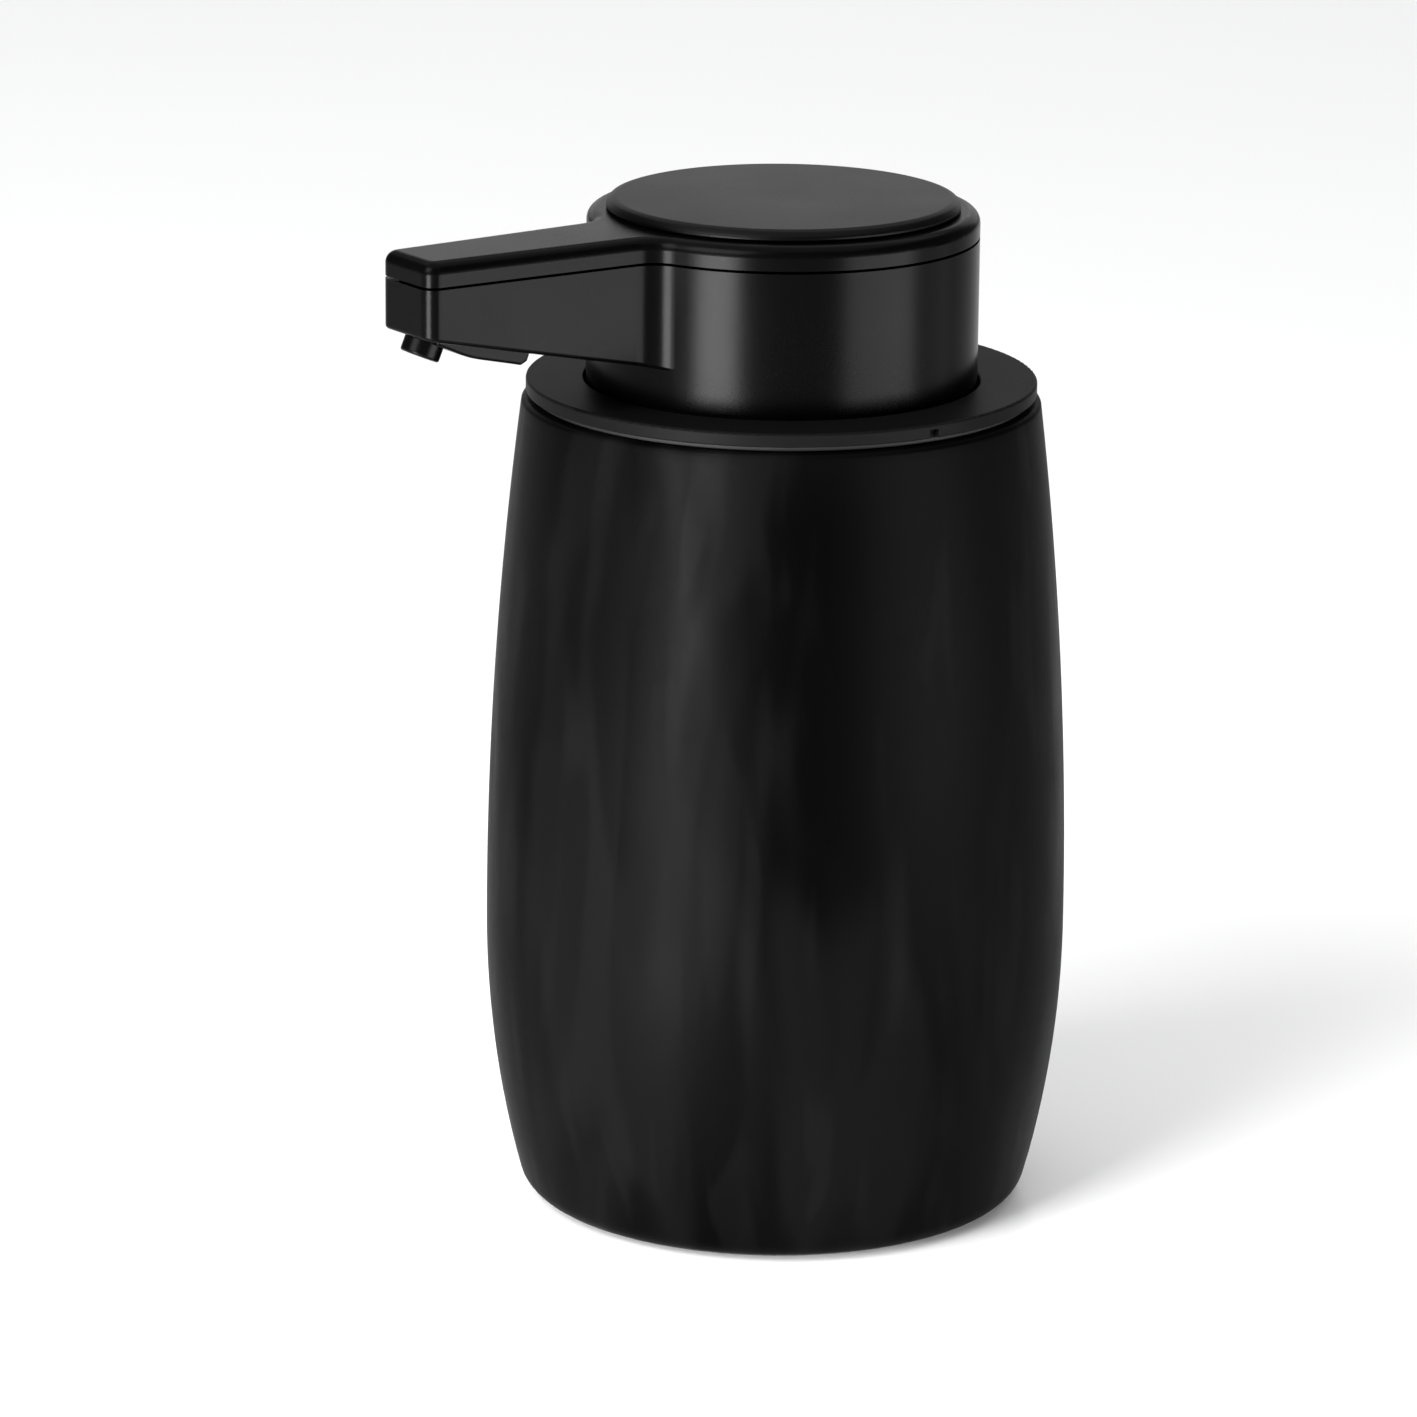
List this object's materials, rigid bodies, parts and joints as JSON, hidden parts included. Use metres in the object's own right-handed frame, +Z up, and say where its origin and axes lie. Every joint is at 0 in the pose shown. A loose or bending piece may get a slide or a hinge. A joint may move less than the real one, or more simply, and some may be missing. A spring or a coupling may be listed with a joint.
{
  "type": "soap pump dispenser",
  "caption": "Barrel-shaped soap bottle with a lift-off pump top: a broad round head that is pressed down, and a straight spout with a nozzle pointing down.",
  "frame": {"origin": "centre of the flat underside, on the surface the bottle stands on", "axes": "+Z up along the bottle's axis, the spout points along -Y at rest"},
  "size_m": [0.084, 0.1058, 0.1474],
  "materials": {
    "bottle_glaze": "satin black glaze",
    "shell_plastic": "satin moulded",
    "pad_plastic": "fine matt texture",
    "nozzle_plastic": "gloss moulded",
    "pump_plastic": "natural moulded",
    "soft_plastic": "soft translucent white",
    "tube_plastic": "translucent tube",
    "silicone": "matt silicone",
    "steel": "stainless"
  },
  "bodies": {
    "bottle": {"bottle": "bottle_glaze", "base_pad": "silicone"},
    "pump_top": {"collar": "shell_plastic", "mouth_seal": "silicone", "cylinder_gasket": "silicone", "pump_cylinder": "pump_plastic", "retaining_nut": "pump_plastic", "stem_guide": "pump_plastic", "stem_wiper": "silicone", "inlet_ball_cage": "pump_plastic", "dip_tube": "tube_plastic", "return_spring": "steel"},
    "inlet_valve": {"inlet_ball": "steel"},
    "stem": {"stem": "pump_plastic", "piston": "soft_plastic"},
    "outlet_valve": {"outlet_ball": "steel"},
    "head": {"head_housing": "shell_plastic", "top_cover": "shell_plastic", "press_pad": "pad_plastic", "outlet_elbow": "pump_plastic", "stem_seal": "silicone", "spout_tube": "silicone", "nozzle": "nozzle_plastic", "drip_valve": "silicone", "service_cap": "shell_plastic", "cover_screws": "steel"}
  },
  "joints": [
    {"name": "top_lift", "type": "slide", "parent": "bottle", "child": "pump_top", "axis": [0, 0, 1], "range_m": [0, 0.12]},
    {"name": "pump_press", "type": "slide", "parent": "pump_top", "child": "stem", "axis": [0, 0, -1], "range_m": [0, 0.0055], "stiffness_N_per_m": 800, "springref_m": -0.005, "deforming": ["return_spring"]},
    {"name": "head_swivel", "type": "hinge", "parent": "stem", "child": "head", "pos_m": [0, 0, 0.13], "axis": [0, 0, 1], "continuous": true},
    {"name": "inlet_ball_lift", "type": "slide", "parent": "pump_top", "child": "inlet_valve", "axis": [0, 0, 1], "range_m": [0, 0.0015]},
    {"name": "outlet_ball_lift", "type": "slide", "parent": "stem", "child": "outlet_valve", "axis": [0, 0, 1], "range_m": [0, 0.0015]}
  ]
}
